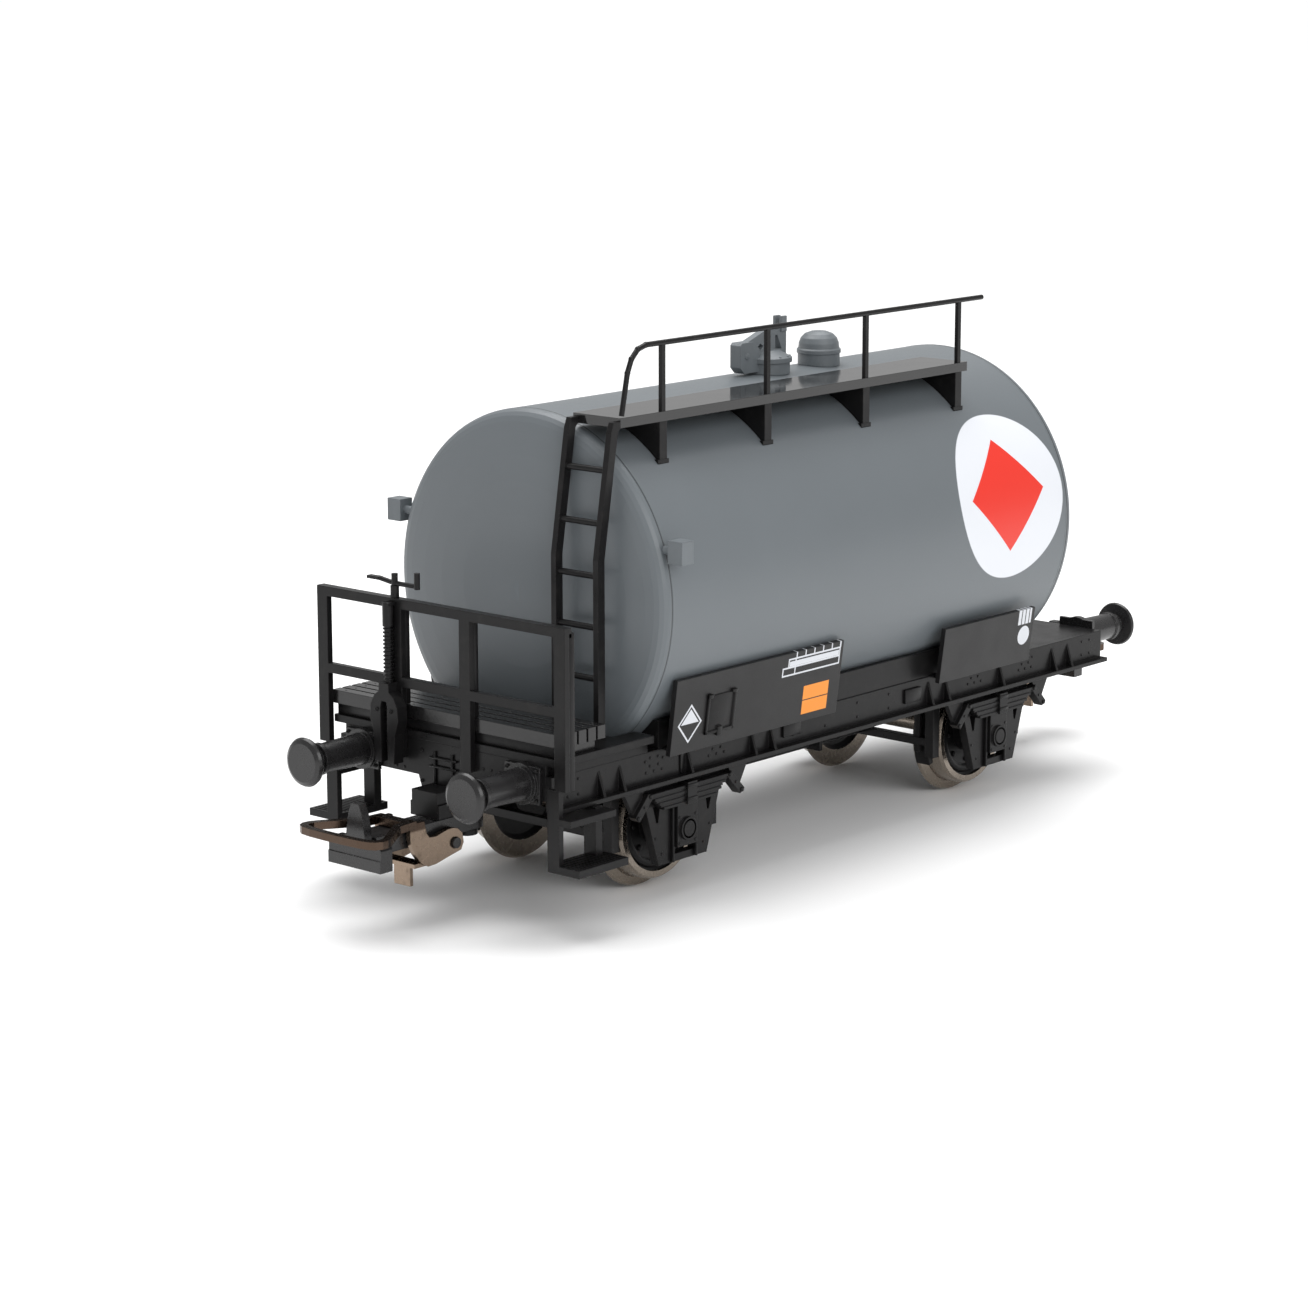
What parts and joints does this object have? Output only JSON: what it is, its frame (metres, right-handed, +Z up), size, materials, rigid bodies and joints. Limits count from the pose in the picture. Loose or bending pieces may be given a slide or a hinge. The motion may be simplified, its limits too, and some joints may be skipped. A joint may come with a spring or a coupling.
{
  "type": "model railway tank wagon",
  "caption": "Small-scale two-axle tank wagon with a cylindrical tank, ladder, roof walkway with handrail, brake platform, buffers and loop couplers.",
  "frame": {"origin": "centre of the wagon's footprint over the buffers, at the height of the wheel flanges' lowest points", "axes": "+X along the wagon away from the brake platform, +Y to the side without ladder and walkway, +Z up"},
  "size_m": [0.1134, 0.037, 0.0516],
  "materials": {
    "tank_grey": "satin grey paint-like plastic",
    "frame_black": "satin black plastic",
    "bright_metal": "bright nickel steel",
    "bronze": "darkened bronze strip",
    "hook_black": "satin black plastic"
  },
  "bodies": {
    "wagon": {"tank_shell": "tank_grey", "tank_end_front": "tank_grey", "tank_end_rear": "tank_grey", "manhole_hatch": "tank_grey", "vent_dome": "tank_grey", "lamp_brackets": "tank_grey", "tank_cradle": "frame_black", "walkway_deck": "frame_black", "walkway_brackets": "frame_black", "walkway_handrail": "frame_black", "ladder": "frame_black", "frame_floor": "frame_black", "sole_bar_left": "frame_black", "sole_bar_right": "frame_black", "headstock_front": "frame_black", "headstock_rear": "frame_black", "end_plate": "frame_black", "platform_deck": "frame_black", "end_railing": "frame_black", "brake_column": "frame_black", "brake_crank": "frame_black", "steps_left": "frame_black", "steps_right": "frame_black", "axle_guards_left": "frame_black", "axle_guards_right": "frame_black", "leaf_springs_left": "frame_black", "leaf_springs_right": "frame_black", "number_boards_left": "frame_black", "number_boards_right": "frame_black", "buffers_front": "frame_black", "buffers_rear": "frame_black", "brake_gear_front": "frame_black", "brake_gear_rear": "frame_black", "air_reservoir": "frame_black", "coupler_pocket_front": "frame_black", "coupler_pocket_rear": "frame_black"},
    "wheelset_front": {"wheelset_front_axle": "bright_metal", "wheelset_front_centres": "frame_black", "wheelset_front_tyres": "bright_metal"},
    "wheelset_rear": {"wheelset_rear_axle": "bright_metal", "wheelset_rear_centres": "frame_black", "wheelset_rear_tyres": "bright_metal"},
    "coupler_front": {"coupler_front": "hook_black"},
    "coupler_rear": {"coupler_rear": "hook_black"},
    "loop_front": {"coupler_loop_front": "bronze"},
    "loop_rear": {"coupler_loop_rear": "bronze"}
  },
  "joints": [
    {"name": "wheelset_front_spin", "type": "hinge", "parent": "wagon", "child": "wheelset_front", "pos_m": [-0.0244, 0, 0.00645], "axis": [0, 1, 0], "continuous": true},
    {"name": "coupler_front_swing", "type": "hinge", "parent": "wagon", "child": "coupler_front", "pos_m": [-0.0398, 0, 0.0083], "axis": [0, 0, 1], "range_deg": [-12, 12]},
    {"name": "coupler_loop_front_lift", "type": "hinge", "parent": "coupler_front", "child": "loop_front", "pos_m": [-0.0436, 0, 0.007], "axis": [0, 1, 0], "range_deg": [0, 12]},
    {"name": "wheelset_rear_spin", "type": "hinge", "parent": "wagon", "child": "wheelset_rear", "pos_m": [0.0244, 0, 0.00645], "axis": [0, 1, 0], "continuous": true},
    {"name": "coupler_rear_swing", "type": "hinge", "parent": "wagon", "child": "coupler_rear", "pos_m": [0.0398, 0, 0.0083], "axis": [0, 0, 1], "range_deg": [-12, 12]},
    {"name": "coupler_loop_rear_lift", "type": "hinge", "parent": "coupler_rear", "child": "loop_rear", "pos_m": [0.0436, 0, 0.007], "axis": [0, -1, 0], "range_deg": [0, 12]}
  ]
}
